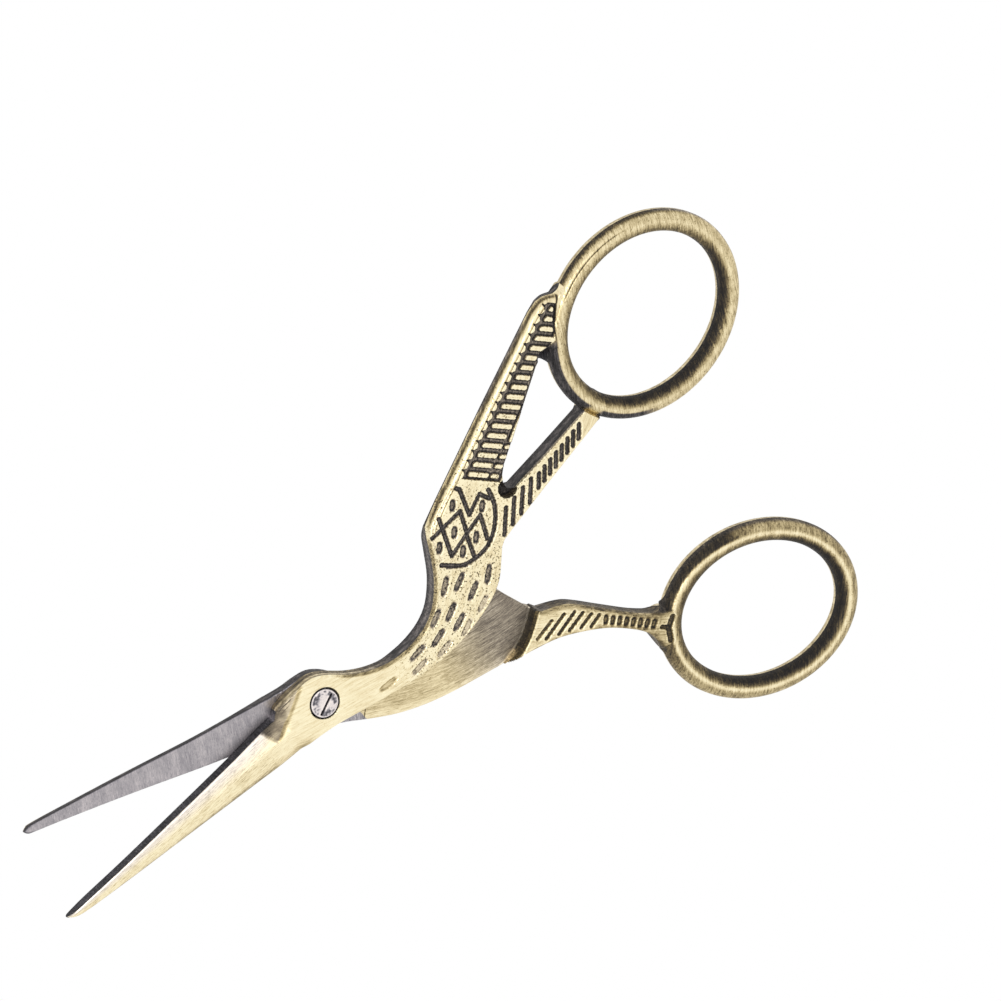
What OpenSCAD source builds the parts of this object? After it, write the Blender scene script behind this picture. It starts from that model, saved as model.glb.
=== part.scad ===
// Stork embroidery scissors: two halves on one screw, posed partly open.
// Origin on the pivot axis at the underside, +X towards the rings, +Y towards the thumb ring, +Z up.
// Both halves are drawn shut, lying along X, and then turned apart by half of the opening each.

/* [Pose] */
// Angle between the two halves as they lie
opening = 18.7; // [18:0.1:40]

/* [Thickness] */
// Top of the front half above the rest plane
front_top = 4.2; // [4.0:0.1:4.6]
// Thickness of the rear half's blade and lap plate
plate_t = 1.7; // [1.5:0.05:1.8]
// Gap between the two ground faces
lap_gap = 0.04; // [0.02:0.01:0.06]
// Underside of the front half's wing and leg
front_low = 0.8; // [0.5:0.1:1.0]
// Top of the rear half's leg and shoulder
leg_top = 4.0; // [3.7:0.1:4.2]

/* [Rings] */
// Half length and half width of the thumb ring's centre line
thumb_a = 13.7; // [13.2:0.1:14.2]
thumb_b = 12.0; // [11.5:0.1:12.5]
// Half length and half width of the finger ring's centre line
finger_a = 13.1; // [12.6:0.1:13.6]
finger_b = 11.0; // [10.5:0.1:11.5]
// Width of a ring's band
band_w = 3.1; // [2.8:0.1:3.5]

/* [Screw] */
// Radius of the screw's head
head_r = 2.05; // [1.9:0.05:2.1]
// Radius of the screw's shank
shank_r = 1.2; // [1.1:0.05:1.3]
// Width of the screwdriver slot
slot_w = 0.35; // [0.3:0.05:0.5]
// Distance of the slot from the middle of the head
slot_off = 0.3; // [0:0.05:0.4]

/* [Hidden] */

lap_top = plate_t + lap_gap;
over = 1;
ring_low = 0.5;
ring_top = 4.05;
turn_clear = 0.05;
seat_clear = 0.01;
rim_clear = 0.11;
head_t = 0.7;
cone_h = 0.55;
carve_depth = 0.3;
panel_depth = 0.4;
crotch_depth = 1.6;

// Smooth open curve through the rows of p, with n steps between two rows
function curve_at(a, b, c, d, t) =
    0.5 * (2 * b + (c - a) * t + (2 * a - 5 * b + 4 * c - d) * t * t
        + (3 * b - a - 3 * c + d) * t * t * t);
function curve(p, n = 3) = [
    for (i = [0 : len(p) - 2]) for (k = [0 : n - 1])
        curve_at(p[max(i - 1, 0)], p[i], p[i + 1], p[min(i + 2, len(p) - 1)], k / n),
    p[len(p) - 1]
];

// Outward direction at corner i of a closed anticlockwise outline, long enough to move both sides by 1
function side_normal(a, b) = let (d = [b[0] - a[0], b[1] - a[1]]) [d[1], -d[0]] / norm(d);
function corner_normal(p, i) = let (
    n = len(p),
    u = side_normal(p[(i + n - 1) % n], p[i]),
    v = side_normal(p[i], p[(i + 1) % n])
) (u + v) / (1 + max(u * v, -0.3));

// Flat triangles that fill an outline, cut off corner by corner
function turn(a, b, c) = (b[0] - a[0]) * (c[1] - a[1]) - (b[1] - a[1]) * (c[0] - a[0]);
function holds(a, b, c, q) = turn(a, b, q) >= 0 && turn(b, c, q) >= 0 && turn(c, a, q) >= 0;
function corner(ids, k) = let (n = len(ids)) [ids[(k + n - 1) % n], ids[k], ids[(k + 1) % n]];
function is_ear(p, ids, k) = let (c = corner(ids, k))
    turn(p[c[0]], p[c[1]], p[c[2]]) > 0
    && len([for (j = ids) if (j != c[0] && j != c[1] && j != c[2]
        && holds(p[c[0]], p[c[1]], p[c[2]], p[j])) j]) == 0;
function ear_from(p, ids, k) = k >= len(ids) - 1 || is_ear(p, ids, k) ? k : ear_from(p, ids, k + 1);
function fill(p, ids) = len(ids) == 3 ? [ids] : let (k = ear_from(p, ids, 0))
    concat([corner(ids, k)], fill(p, [for (i = [0 : len(ids) - 1]) if (i != k) ids[i]]));

// Side faces of a solid made of equal rings of points
function side_faces(rings, n) = [for (k = [0 : rings - 2]) for (i = [0 : n - 1])
    let (a = k * n + i, b = k * n + (i + 1) % n) each [[a, a + n, b + n], [a, b + n, b]]];
function reversed(list) = [for (i = [len(list) - 1 : -1 : 0]) list[i]];

// Plate with eased edges, between the heights low and top.
// Each row of the outline is x, y, the easing above and the easing below.
module eased_plate(outline, low, top) {
    n = len(outline);
    normals = [for (i = [0 : n - 1]) corner_normal(outline, i)];
    function ring(share, above, base, rise) = [for (i = [0 : n - 1])
        let (ease = outline[i][above ? 2 : 3])
        [
            outline[i][0] - share * ease * normals[i][0],
            outline[i][1] - share * ease * normals[i][1],
            base + rise * ease
        ]];
    rings = [
        ring(2.3, false, low, 0), ring(1, false, low, 1.4), ring(0, false, low, 2.5),
        ring(0, true, top, -2), ring(0.4, true, top, -0.6), ring(1, true, top, 0)
    ];
    ids = [for (i = [0 : n - 1]) i];
    last = (len(rings) - 1) * n;
    polyhedron(
        [for (r = rings) each r],
        concat(
            fill(rings[0], ids),
            side_faces(len(rings), n),
            [for (t = fill(rings[len(rings) - 1], ids)) [for (i = reversed(t)) last + i]]
        ),
        convexity = 8
    );
}

// Blade that lies on z = 0 with its cutting edge towards +Y.
// Each station is x, cutting edge y, spine y, and the thickness at the edge, the middle and the spine.
edge_lean = 0.16;
function blade_ring(s) = let (w = s[1] - s[2], lean = min(edge_lean, 0.3 * w)) [
    [s[0], s[1], 0],
    [s[0], s[1] - lean, s[3]],
    [s[0], s[1] - 0.45 * w, s[4]],
    [s[0], s[2] + 0.24 * w, 0.9 * s[4]],
    [s[0], s[2] + 0.07 * w, 0.45 * s[4] + 0.5 * s[5]],
    [s[0], s[2], s[5]],
    [s[0], s[2], 0]
];
module blade(stations) {
    rings = [for (s = curve(stations, 2)) blade_ring(s)];
    points = [for (r = rings) each r];
    n = len(rings[0]);
    start = [for (i = [0 : n - 1]) i];
    end = [for (i = start) len(points) - 1 - i];
    polyhedron(points, concat([start], side_faces(len(rings), n), [end]), convexity = 4);
}

// Section of a ring's band: outwards and up, as shares of the half width and of the height
band_section = [
    [1.0, 0.6], [0.86, 0.82], [0.45, 0.97], [0.0, 1.0], [-0.5, 0.95], [-0.88, 0.75],
    [-1.0, 0.52], [-0.88, 0.26], [-0.5, 0.06], [0.0, 0.0], [0.45, 0.06], [0.85, 0.3]
];
// Point of an oval's centre line
function oval_at(c, a, b, tilt, ang) = [
    c[0] + a * cos(ang) * cos(tilt) - b * sin(ang) * sin(tilt),
    c[1] + a * cos(ang) * sin(tilt) + b * sin(ang) * cos(tilt)
];
module oval_band(c, a, b, tilt, z0, z1, steps = 44) {
    n = len(band_section);
    line = [for (k = [0 : steps - 1]) oval_at(c, a, b, tilt, 360 * k / steps)];
    points = [for (k = [0 : steps - 1]) for (s = band_section)
        let (out = corner_normal(line, k))
        [
            line[k][0] + out[0] * s[0] * band_w / 2,
            line[k][1] + out[1] * s[0] * band_w / 2,
            z0 + s[1] * (z1 - z0)
        ]];
    faces = [for (k = [0 : steps - 1]) for (i = [0 : n - 1])
        let (j = (k + 1) % steps, a = k * n + i, b = k * n + (i + 1) % n,
            d = j * n + (i + 1) % n, e = j * n + i)
        each [[a, b, d], [a, d, e]]];
    polyhedron(points, faces, convexity = 6);
}

// Front half, shut: cutting edge towards +Y, wing and thumb ring above the axis
front_stations = [
    [-45.35, 0.42, 0.28, 0.5, 0.5, 0.3],
    [-44.8, 0.5, -0.12, 1.0, 1.0, 0.4],
    [-43.8, 0.6, -0.5, 1.35, 1.35, 0.5],
    [-41.5, 0.75, -0.85, 1.5, 1.5, 0.6],
    [-34.6, 0.98, -1.55, 1.55, 1.65, 0.6],
    [-24.6, 1.5, -2.42, 1.55, 1.85, 0.6],
    [-14.6, 2.1, -3.18, 1.6, 2.15, 0.8],
    [-9.6, 2.55, -3.42, 1.6, 2.35, 1.2],
    [-6.4, 2.68, -3.4, 1.65, 2.44, 1.5],
    [-3.0, 2.9, -3.36, 1.7, 2.45, 1.8]
];
// Outline of the front plate, from the head down the back of the neck to the foot of the wing
front_back = [
    [-6.4, 2.6, 0.12, 0.1], [-6.2, 3.3, 0.12, 0.1], [-5.5, 3.75, 0.12, 0.1], [-4.0, 4.02, 0.12, 0.1],
    [-2.0, 4.18, 0.15, 0.1], [0.0, 4.15, 0.2, 0.1], [1.4, 3.7, 0.2, 0.1], [2.95, 2.6, 0.25, 0.1],
    [5.2, 0.55, 0.22, 0.12], [7.9, -1.13, 0.22, 0.15], [10.95, -2.15, 0.22, 0.2],
    [14.0, -2.33, 0.24, 0.15], [17.15, -1.68, 0.27, 0.13], [19.7, -0.15, 0.3, 0.13], [22.1, 2.75, 0.3, 0.13],
    [23.75, 5.95, 0.32, 0.13], [24.7, 8.1, 0.4, 0.25]
];
wing_root = [25.6, 9.6, 0.55, 0.6];
wing_side = [[29.0, 11.55, 0.65, 0.7], [42.0, 18.0, 0.7, 0.7], [54.5, 24.0, 0.65, 0.7]];
wing_end = [[56.2, 24.5, 0.6, 0.6], [57.4, 24.35, 0.5, 0.5], [58.6, 23.7, 0.4, 0.4]];
// Into the ring's band and back along the opening's upper side
wing_join = [[60.2, 23.4, 0.1, 0.1], [57.3, 19.8, 0.1, 0.1], [54.9, 19.4, 0.1, 0.1]];
opening_top = [[52.6, 18.75, 0.12, 0.2], [39.2, 9.3, 0.12, 0.2]];
opening_nook = [
    [38.2, 8.3, 0.12, 0.2], [37.7, 7.3, 0.12, 0.2], [37.7, 6.2, 0.12, 0.2], [38.5, 5.6, 0.12, 0.2]
];
opening_low = [[45.0, 6.4, 0.15, 0.2], [52.2, 7.4, 0.15, 0.2]];
leg_join = [[55.0, 7.8, 0.1, 0.1], [55.2, 5.4, 0.1, 0.1]];
front_leg_low = [
    [50.4, 4.35, 0.12, 0.2], [42.0, 2.6, 0.12, 0.2], [35.0, 1.05, 0.12, 0.2], [33.1, 0.55, 0.12, 0.2]
];
front_belly = [
    [32.3, 0.0, 0.12, 0.2], [31.0, -1.6, 0.12, 0.1], [29.2, -3.6, 0.12, 0.1], [26.6, -5.15, 0.12, 0.1],
    [22.6, -6.35, 0.12, 0.1], [18.0, -6.95, 0.12, 0.1], [13.0, -6.65, 0.12, 0.1], [8.0, -5.75, 0.12, 0.1],
    [3.0, -4.6, 0.12, 0.1], [-0.5, -3.8, 0.14, 0.1], [-4.0, -3.45, 0.3, 0.1], [-6.4, -3.33, 0.5, 0.1]
];
front_outline = concat(
    curve(front_back, 2), [wing_root], wing_side, wing_end, wing_join, opening_top,
    curve(opening_nook, 2), opening_low, leg_join, front_leg_low, curve(front_belly, 2)
);

// Underside lap that the rear half's plate slides in, drawn past the belly
lap_end = [
    [14.4, -2.75], [17.5, -2.2], [20.5, -0.3], [24.0, 2.4],
    [27.2, 4.1], [29.3, 4.0], [30.4, 2.6], [33.6, -1.4]
];
lap_outline = concat(
    [[-8, 6], [8, 6], [12.4, -1.6], [13.2, -2.4]], curve(lap_end, 2), [[34, -10], [-8, -10]]
);

module lap() {
    translate([0, 0, -over])
        linear_extrude(lap_top + over)
            polygon(lap_outline);
}

// Flat ground facet between the head and the blade's cutting edge
facet_foot = [-8.1, 0.1];
facet_dir = 33;
facet_profile = [[0, 0], [1.5, -0.85], [8, -0.85], [8, 2], [-3.5, 2]];
module facet() {
    translate([facet_foot[0], facet_foot[1], front_top])
        rotate([0, 0, facet_dir])
            translate([-8, 0, 0])
                rotate([90, 0, 90])
                    linear_extrude(18)
                        polygon(facet_profile);
}

module pivot_bore() {
    translate([0, 0, lap_top - over])
        cylinder(h = front_top + 2 * over, r = shank_r + turn_clear, $fn = 48);
    translate([0, 0, front_top - head_t])
        cylinder(h = cone_h, r1 = shank_r + rim_clear, r2 = head_r + rim_clear, $fn = 48);
    translate([0, 0, front_top - head_t + cone_h])
        cylinder(h = over, r = head_r + rim_clear, $fn = 48);
}

// Feathers of the wing, left standing in a sunk panel: ribs across it and lobes that hang from its border
feather_gap = 1.465;
feather_n = 18;
panel_at = [34.5, 12.0];
panel_dir = 26;
panel_field = [
    [-1.1, 1.15], [0.3, -3.9], [1.6, -4.25], [19.2, -1.5],
    [21.4, -2.1], [23.3, -1.35], [25.4, -0.2], [25.6, 1.15]
];
module wing_panel() {
    translate([panel_at[0], panel_at[1], front_top - panel_depth])
        rotate([0, 0, panel_dir])
            linear_extrude(over)
                difference() {
                    polygon(panel_field);
                    for (k = [0 : feather_n - 1])
                        translate([feather_gap * k, 0])
                            rotate(-73.7)
                                translate([0, -0.36])
                                    square([3, 0.72]);
                    for (k = [0 : feather_n])
                        translate([feather_gap * k - 0.52, 1.15])
                            circle(r = 0.6, $fn = 12);
                }
}

// Groove of a given width between two points of a top face, as deep as all the carving
module groove(a, b, width, top) {
    d = b - a;
    translate([a[0], a[1], top - carve_depth])
        rotate([0, 0, atan2(d[1], d[0])])
            translate([0, -width / 2, 0])
                cube([norm(d), width, over]);
}
module chain(points, width, top) {
    for (i = [0 : len(points) - 2])
        groove(points[i], points[i + 1], width, top);
}
// Oval dimple, like a small feather
module dimple(at, size, angle, top) {
    translate([at[0], at[1], top - carve_depth])
        rotate([0, 0, angle])
            scale([size[0] / size[1], 1, 1])
                cylinder(h = over, r = size[1] / 2, $fn = 10);
}

// Small feathers of the body: x, y and the angle
body_feathers = [
    [8.5, -4.3, 8], [13.4, -5.5, 12], [14.3, -3.65, 12], [17.6, -5.6, 14], [17.8, -4.0, 20], [21.4, -4.3, 24],
    [19.1, -1.5, 29], [21.3, -2.3, 30], [22.6, 1.4, 42], [24.7, 0.35, 29], [25.5, -2.1, 30], [28.5, -1.7, 45]
];
breast_edge = [
    [23.8, 4.1], [25.0, 2.9], [26.5, 1.8], [28.5, 1.45], [30.5, 1.6], [32.3, 2.5], [33.8, 4.0], [34.8, 5.6],
    [35.3, 7.4]
];
breast_zigzag = [
    [[27.6, 9.7], [26.0, 4.1], [29.4, 5.15], [28.6, 2.4]],
    [[25.3, 8.1], [30.6, 8.5], [29.5, 5.2], [32.5, 6.0], [31.5, 3.1]],
    [[32.3, 11.1], [31.3, 7.1], [34.1, 8.5]]
];
module front_carving() {
    for (f = body_feathers)
        dimple(f, [2.7, 0.8], f[2], front_top);
    chain(breast_edge, 0.4, front_top);
    for (z = breast_zigzag)
        chain(z, 0.4, front_top);
    for (k = [0 : 3])
        groove([33.8 + 1.8 * k, 1.55 + 0.37 * k], [35.9 + 1.75 * k, 4.2 + 0.27 * k], 0.34, front_top);
    for (k = [0 : 7])
        groove([41.2 + 1.2 * k, 3.2 + 0.23 * k], [42.2 + 1.2 * k, 4.8 + 0.23 * k], 0.42, front_top);
}

// Blind hollow in the crotch between the wing and the leg
module crotch() {
    translate([37.7, 6.35, front_top - crotch_depth])
        cylinder(h = over + crotch_depth, r1 = 1.1, r2 = 1.4, $fn = 24);
}

module stork_half() {
    color("#c9b98a")
    rotate([0, 0, opening / 2])
    difference() {
        union() {
            translate([0, 0, lap_top])
                blade(front_stations);
            eased_plate(reversed(front_outline), front_low, front_top);
            oval_band([66.95, 12.05], thumb_a, thumb_b, 15.6, ring_low, ring_top);
        }
        lap();
        facet();
        wing_panel();
        front_carving();
        crotch();
        pivot_bore();
    }
}

// Rear half, shut: cutting edge towards -Y, leg and finger ring below the axis
rear_stations = [
    [-45.4, -0.1, -0.24, 0.5, 0.5, 0.3],
    [-44.9, 0.2, -0.62, 1.0, 1.0, 0.4],
    [-44.0, 0.42, -0.76, 1.35, 1.35, 0.5],
    [-39.3, 0.76, -0.96, 1.5, 1.5, 0.6],
    [-29.3, 1.44, -1.54, 1.55, 1.55, 0.6],
    [-19.3, 1.98, -2.3, 1.55, 1.6, 0.6],
    [-14.3, 2.4, -2.62, 1.6, 1.65, 0.6],
    [-9.3, 2.78, -2.92, 1.6, 1.65, 0.7],
    [-6.4, 3.02, -3.0, 1.65, 1.68, 0.9]
];
rear_back = [
    [-6.8, 2.7, 0.2, 0.1], [-4.3, 3.1, 0.2, 0.1], [-2.0, 3.65, 0.2, 0.1], [0.0, 3.85, 0.15, 0.1],
    [2.0, 3.1, 0.1, 0.1], [4.0, 1.6, 0.1, 0.1], [6.0, 0.0, 0.1, 0.1], [9.0, -1.7, 0.1, 0.1],
    [12.2, -2.7, 0.1, 0.1]
];
rear_under_body = [
    [14.6, -2.9, 0.1, 0.1], [17.5, -2.6, 0.1, 0.1], [20.5, -0.9, 0.1, 0.1], [24.0, 1.9, 0.1, 0.1],
    [27.0, 3.6, 0.1, 0.1], [28.9, 3.5, 0.1, 0.1], [30.2, 2.0, 0.1, 0.1], [32.2, -0.4, 0.1, 0.1]
];
rear_leg_top = [
    [33.6, -1.2, 0.3, 0.3], [36.6, -1.6, 0.35, 0.4], [38.6, -2.45, 0.35, 0.4], [42.4, -4.85, 0.35, 0.4],
    [46.2, -7.2, 0.35, 0.4], [49.2, -8.7, 0.3, 0.3]
];
rear_join = [[51.6, -9.4, 0.1, 0.1], [51.4, -12.6, 0.1, 0.1]];
rear_leg_low = [
    [48.9, -13.2, 0.15, 0.2], [47.7, -11.3, 0.15, 0.2], [45.8, -9.55, 0.15, 0.2], [42.0, -7.5, 0.15, 0.2],
    [38.0, -6.3, 0.15, 0.2], [34.5, -5.75, 0.2, 0.2], [31.0, -6.0, 0.45, 0.2], [28.6, -6.5, 0.8, 0.15]
];
rear_plate_low = [
    [26.4, -6.85, 0.95, 0.12], [23.7, -7.1, 0.5, 0.12], [19.0, -7.5, 0.12, 0.12], [14.7, -7.55, 0.12, 0.12],
    [10.5, -7.1, 0.12, 0.12], [6.6, -6.15, 0.12, 0.12], [3.0, -5.05, 0.12, 0.12], [0.0, -4.45, 0.12, 0.12],
    [-3.0, -4.1, 0.12, 0.12], [-5.8, -3.9, 0.12, 0.12], [-6.8, -3.0, 0.12, 0.12]
];
rear_outline = concat(
    curve(rear_back, 2), curve(rear_under_body, 2), curve(rear_leg_top, 2), rear_join,
    curve(rear_leg_low, 2), curve(rear_plate_low, 2)
);
// Shoulder that the front half's belly shuts against, and what is cut away above the plate
shoulder = [[25.9, -7.2], [27.8, -6.25], [30.05, -4.5], [31.7, -2.4], [33.0, -0.3]];
above_plate = concat(curve(shoulder, 3), [[33.6, 0.8], [33.6, 6], [-8, 6], [-8, -9], [24, -9]]);

// Carving of the rear leg: slanted cuts, a row of ovals and the forked mark at the ring
leg_cuts = [
    [[32.3, -4.2], [34.4, -2.8]], [[33.2, -4.8], [36.2, -2.85]], [[34.9, -5.0], [37.8, -3.1]],
    [[36.5, -5.2], [38.9, -3.7]], [[38.2, -5.5], [40.0, -4.4]], [[39.7, -6.0], [41.2, -4.9]]
];
fork = [50.0, -10.7];
module rear_carving() {
    for (c = leg_cuts)
        groove(c[0], c[1], 0.34, leg_top);
    for (k = [0 : 7])
        dimple([41.8 + 0.914 * k, -6.1 - 0.507 * k], [1.3, 0.6], 66 - 1.5 * k, leg_top);
    for (end = [[48.9, -10.3], [51.0, -9.6], [49.7, -12.6]])
        groove(fork, end, 0.4, leg_top);
}

module rear_half() {
    color("#b5a57a")
    rotate([0, 0, -opening / 2])
    difference() {
        union() {
            translate([0, 0, plate_t])
                rotate([180, 0, 0])
                    blade([for (s = rear_stations) [s[0], -s[2], -s[1], s[3], s[4], s[5]]]);
            difference() {
                eased_plate(reversed(rear_outline), 0, leg_top);
                translate([0, 0, plate_t])
                    linear_extrude(over + leg_top)
                        polygon(above_plate);
            }
            oval_band([63.5, -14.6], finger_a, finger_b, -8.5, ring_low - 0.3, ring_top);
        }
        rear_carving();
        translate([0, 0, -over])
            cylinder(h = plate_t + 2 * over, r = shank_r + seat_clear, $fn = 48);
    }
}

module pivot_screw() {
    color("#b9bcc0")
    difference() {
        union() {
            cylinder(h = front_top - head_t, r = shank_r, $fn = 48);
            translate([0, 0, front_top - head_t])
                cylinder(h = cone_h, r1 = shank_r, r2 = head_r, $fn = 48);
            translate([0, 0, front_top - head_t + cone_h])
                cylinder(h = 0.1, r = head_r, $fn = 48);
        }
        translate([0, 0, front_top])
            rotate([0, 0, 36])
                translate([0, -slot_off, 0])
                    cube([2 * head_r + over, slot_w, 0.8], center = true);
    }
}

stork_half();
rear_half();
pivot_screw();
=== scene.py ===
import bpy
import math
import numpy as np
from mathutils import Matrix, Vector


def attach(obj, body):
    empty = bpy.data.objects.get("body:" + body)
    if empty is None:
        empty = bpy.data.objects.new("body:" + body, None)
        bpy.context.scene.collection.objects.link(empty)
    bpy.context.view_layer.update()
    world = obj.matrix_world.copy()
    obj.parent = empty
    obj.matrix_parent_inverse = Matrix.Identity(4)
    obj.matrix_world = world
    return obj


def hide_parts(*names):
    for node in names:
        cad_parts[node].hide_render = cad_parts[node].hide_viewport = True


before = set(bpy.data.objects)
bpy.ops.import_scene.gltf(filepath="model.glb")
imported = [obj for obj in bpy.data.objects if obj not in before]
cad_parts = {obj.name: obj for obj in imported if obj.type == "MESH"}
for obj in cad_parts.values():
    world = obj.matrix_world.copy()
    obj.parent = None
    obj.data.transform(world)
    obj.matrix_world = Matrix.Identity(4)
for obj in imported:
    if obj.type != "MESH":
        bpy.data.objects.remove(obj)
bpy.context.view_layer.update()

# Sizes in millimetres, as in the CAD source. Both halves are drawn shut and then turned apart.
MM = 0.001
HALF_OPEN = math.radians(18.7 / 2)  # how far each half is turned at rest
TOP = 4.2  # top face of the front half
BODY_LOW = 0.8  # underside of the front half's body and leg
LAP = 1.74  # face of the front half that lies on the rear half's plate
PLATE = 1.7  # top face of that plate
LEG = 4.0  # top face of the rear half's leg
BLADE_END = -6.9  # where the blades' own outlines stop, along x
COUNTERSINK = 2.16  # radius of the front half's hole at its rim
BORE = 1.21  # radius of the rear half's hole
HEAD_RADIUS = 2.05
HEAD_TOP = 4.16
HEAD_LOW = 3.5  # where the screw's head meets its shank
SHANK_RADIUS = 1.2
SLOT_TURN = math.radians(36)
BAND = 1.55  # half the width of a ring's band
THUMB_RING = 0.5, 4.05, 2.55  # lowest line, crest and widest line of the ring's section
FINGER_RING = 0.2, 4.05, 2.3
FALL = 3  # how far a face is sunk where a ring takes over from it
EDGE_EASE = [0.03, 0.02]  # easing of the blades' ground edges, above and below

# How fine the meshes are
STEP = 0.08
SCREW_STEP = 0.04
WALL_ROWS = 7
BLOCK = 8  # cells along the side of a block that is tested as one
CHUNK = 2000  # points that are measured at a time


# Lines and distances
def smooth_line(rows, steps=6):
    """A smooth curve through rows, which carries their further columns along."""
    p = np.array(rows, float)
    out = []
    for i in range(len(p) - 1):
        a, b, c, d = p[max(i - 1, 0)], p[i], p[i + 1], p[min(i + 2, len(p) - 1)]
        square, cube = 2 * a - 5 * b + 4 * c - d, 3 * b - a - 3 * c + d
        for k in range(steps):
            t = k / steps
            out.append(0.5 * (2 * b + (c - a) * t + square * t * t + cube * t ** 3))
    out.append(p[-1])
    return np.array(out)


def curve(rows, steps=4):
    return smooth_line(rows, steps).tolist()


def eased(points, above, below):
    """Rows of an outline along which the easing stays the same."""
    return [[x, y, above, below] for x, y in points]


def blade_side(stations, column):
    """Rows of an outline along one side of a blade, from its tip."""
    return [[r[0], r[column]] + EDGE_EASE for r in stations if r[0] < BLADE_END]


def nearest(q, line, closed):
    """Distance of each point of q to a line, and the row of the line there as a fraction."""
    a = line if closed else line[:-1]
    b = np.roll(line, -1, axis=0) if closed else line[1:]
    ax, ay = a[:, 0].astype(np.float32), a[:, 1].astype(np.float32)
    dx, dy = (b[:, 0] - a[:, 0]).astype(np.float32), (b[:, 1] - a[:, 1]).astype(np.float32)
    size = np.maximum(dx * dx + dy * dy, 1e-12)
    dist = np.empty(len(q))
    where = np.empty(len(q))
    p = q.astype(np.float32)
    for s in range(0, len(q), CHUNK):
        rx = p[s:s + CHUNK, 0, None] - ax
        ry = p[s:s + CHUNK, 1, None] - ay
        t = np.clip((rx * dx + ry * dy) / size, 0, 1)
        rx -= t * dx
        ry -= t * dy
        rx *= rx
        ry *= ry
        rx += ry
        k = rx.argmin(1)
        rows = np.arange(len(k))
        dist[s:s + CHUNK] = np.sqrt(rx[rows, k])
        where[s:s + CHUNK] = k + t[rows, k]
    return dist, where


def inside(q, line):
    """Which points lie inside a closed line."""
    x, y = q[:, 0], q[:, 1]
    hit = np.zeros(len(q), bool)
    for a, b in zip(line, np.roll(line, -1, axis=0)):
        if a[1] != b[1]:
            crossing = (b[0] - a[0]) * (y - a[1]) / (b[1] - a[1]) + a[0]
            hit ^= ((a[1] > y) != (b[1] > y)) & (x < crossing)
    return hit


class Outline:
    """A closed outline whose rows are x, y and the easing above and below."""

    def __init__(self, rows):
        self.line = np.array([r[:2] for r in rows], float)
        self.ease = np.array([r[2:4] for r in rows], float)

    def __call__(self, q):
        dist, where = nearest(q, self.line, True)
        k = where.astype(int) % len(self.line)
        t = (where - np.floor(where))[:, None]
        ease = self.ease[k] * (1 - t) + self.ease[(k + 1) % len(self.line)] * t
        return np.where(inside(q, self.line), -dist, dist), ease


class Oval:
    """The centre line of a finger ring."""

    def __init__(self, centre, a, b, tilt, steps=300):
        w = np.linspace(0, 2 * math.pi, steps, endpoint=False)
        c, s = math.cos(math.radians(tilt)), math.sin(math.radians(tilt))
        self.line = np.stack([
            centre[0] + a * np.cos(w) * c - b * np.sin(w) * s,
            centre[1] + a * np.cos(w) * s + b * np.sin(w) * c,
        ], 1)

    def __call__(self, q):
        dist, where = nearest(q, self.line, True)
        return np.where(inside(q, self.line), -dist, dist), where / len(self.line) * 360


# Shapes of one value over another
def ramp(low, high, x):
    """0 up to low, 1 from high, and a smooth step between them."""
    t = np.clip((x - low) / (high - low), 0, 1)
    return t * t * (3 - 2 * t)


def between(x, start, full, last, end):
    """1 from full to last, and 0 before start and after end."""
    return ramp(start, full, x) * (1 - ramp(last, end, x))


def bell(x, middle, width):
    return np.exp(-((x - middle) / width) ** 2)


def spot(q, x, y, spread):
    return np.exp(-((q[:, 0] - x) ** 2 + (q[:, 1] - y) ** 2) / spread)


def mixed(a, b, share):
    """a where share is 0, and b where it is 1."""
    return a * (1 - share) + b * share


def soft_min(a, b, k):
    h = np.clip(0.5 + 0.5 * (b - a) / k, 0, 1)
    return b * (1 - h) + a * h - k * h * (1 - h)


def soft_max(a, b, k):
    return -soft_min(-a, -b, k)


def wander(q, size, seed=0.0):
    """Slow unevenness from -1 to 1, with bumps of about that size."""
    x, y = q[:, 0] / size, q[:, 1] / size
    return (
        np.sin(2.1 * x + 1.3 * y + seed) + np.sin(-1.7 * x + 2.3 * y + 1.9 * seed + 1)
        + np.sin(3.7 * x - 0.9 * y + 2.7 * seed + 2) + np.sin(0.8 * x + 4.1 * y + seed * 3.1)
    ) / 4


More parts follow.
